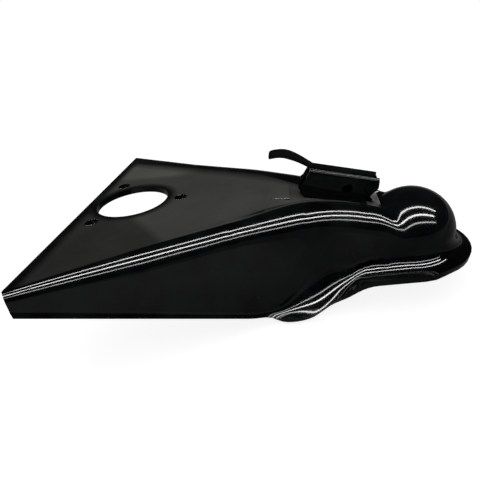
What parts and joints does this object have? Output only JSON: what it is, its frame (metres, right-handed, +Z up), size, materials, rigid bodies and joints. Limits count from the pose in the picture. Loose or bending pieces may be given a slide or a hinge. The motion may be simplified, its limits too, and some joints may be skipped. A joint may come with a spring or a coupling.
{
  "type": "trailer coupling head",
  "caption": "Pressed steel A-frame trailer coupling head with ball socket, channel latch with finger tail, trigger and ball clamp.",
  "frame": {"origin": "centre of the jack hole on the top face of the plate", "axes": "+X along the trailer's centre line towards the ball, +Y to the left seen from above with +X ahead, +Z up out of the plate"},
  "size_m": [0.3305, 0.2712, 0.1233],
  "materials": {
    "black_enamel": "gloss black enamel over pressed sheet",
    "zinc_plate": "clear zinc plate, slightly dull",
    "bare_steel": "plain forged and drawn steel"
  },
  "bodies": {
    "coupler": {"coupler_housing": "black_enamel", "saddle_plate": "zinc_plate", "spring_washer": "zinc_plate"},
    "clamp": {"clamp_post": "zinc_plate", "ball_clamp": "bare_steel", "clamp_spring": "bare_steel", "nut_washer": "zinc_plate", "lock_nut": "zinc_plate"},
    "latch": {"latch_channel": "black_enamel", "pivot_pin": "black_enamel", "trigger_pin": "black_enamel", "trigger_spring": "bare_steel"},
    "trigger": {"trigger": "black_enamel"}
  },
  "joints": [
    {"name": "clamp_drop", "type": "slide", "parent": "coupler", "child": "clamp", "axis": [-0.309, 0, -0.9511], "range_m": [0, 0.0058], "deforming": ["clamp_spring"]},
    {"name": "latch_lift", "type": "hinge", "parent": "clamp", "child": "latch", "pos_m": [0.2045, 0, -0.00164], "axis": [0, 1, 0], "range_deg": [0, 85]},
    {"name": "trigger_squeeze", "type": "hinge", "parent": "latch", "child": "trigger", "pos_m": [0.16144, 0, 0.00755], "axis": [0, 1, 0], "range_deg": [0, 8], "stiffness_Nm_per_rad": 0.4, "springref_deg": -5.73, "deforming": ["trigger_spring"]}
  ],
  "couplings": [
    {"joint": "clamp_drop", "follows": "latch_lift", "m_per_rad": 0.0039}
  ]
}
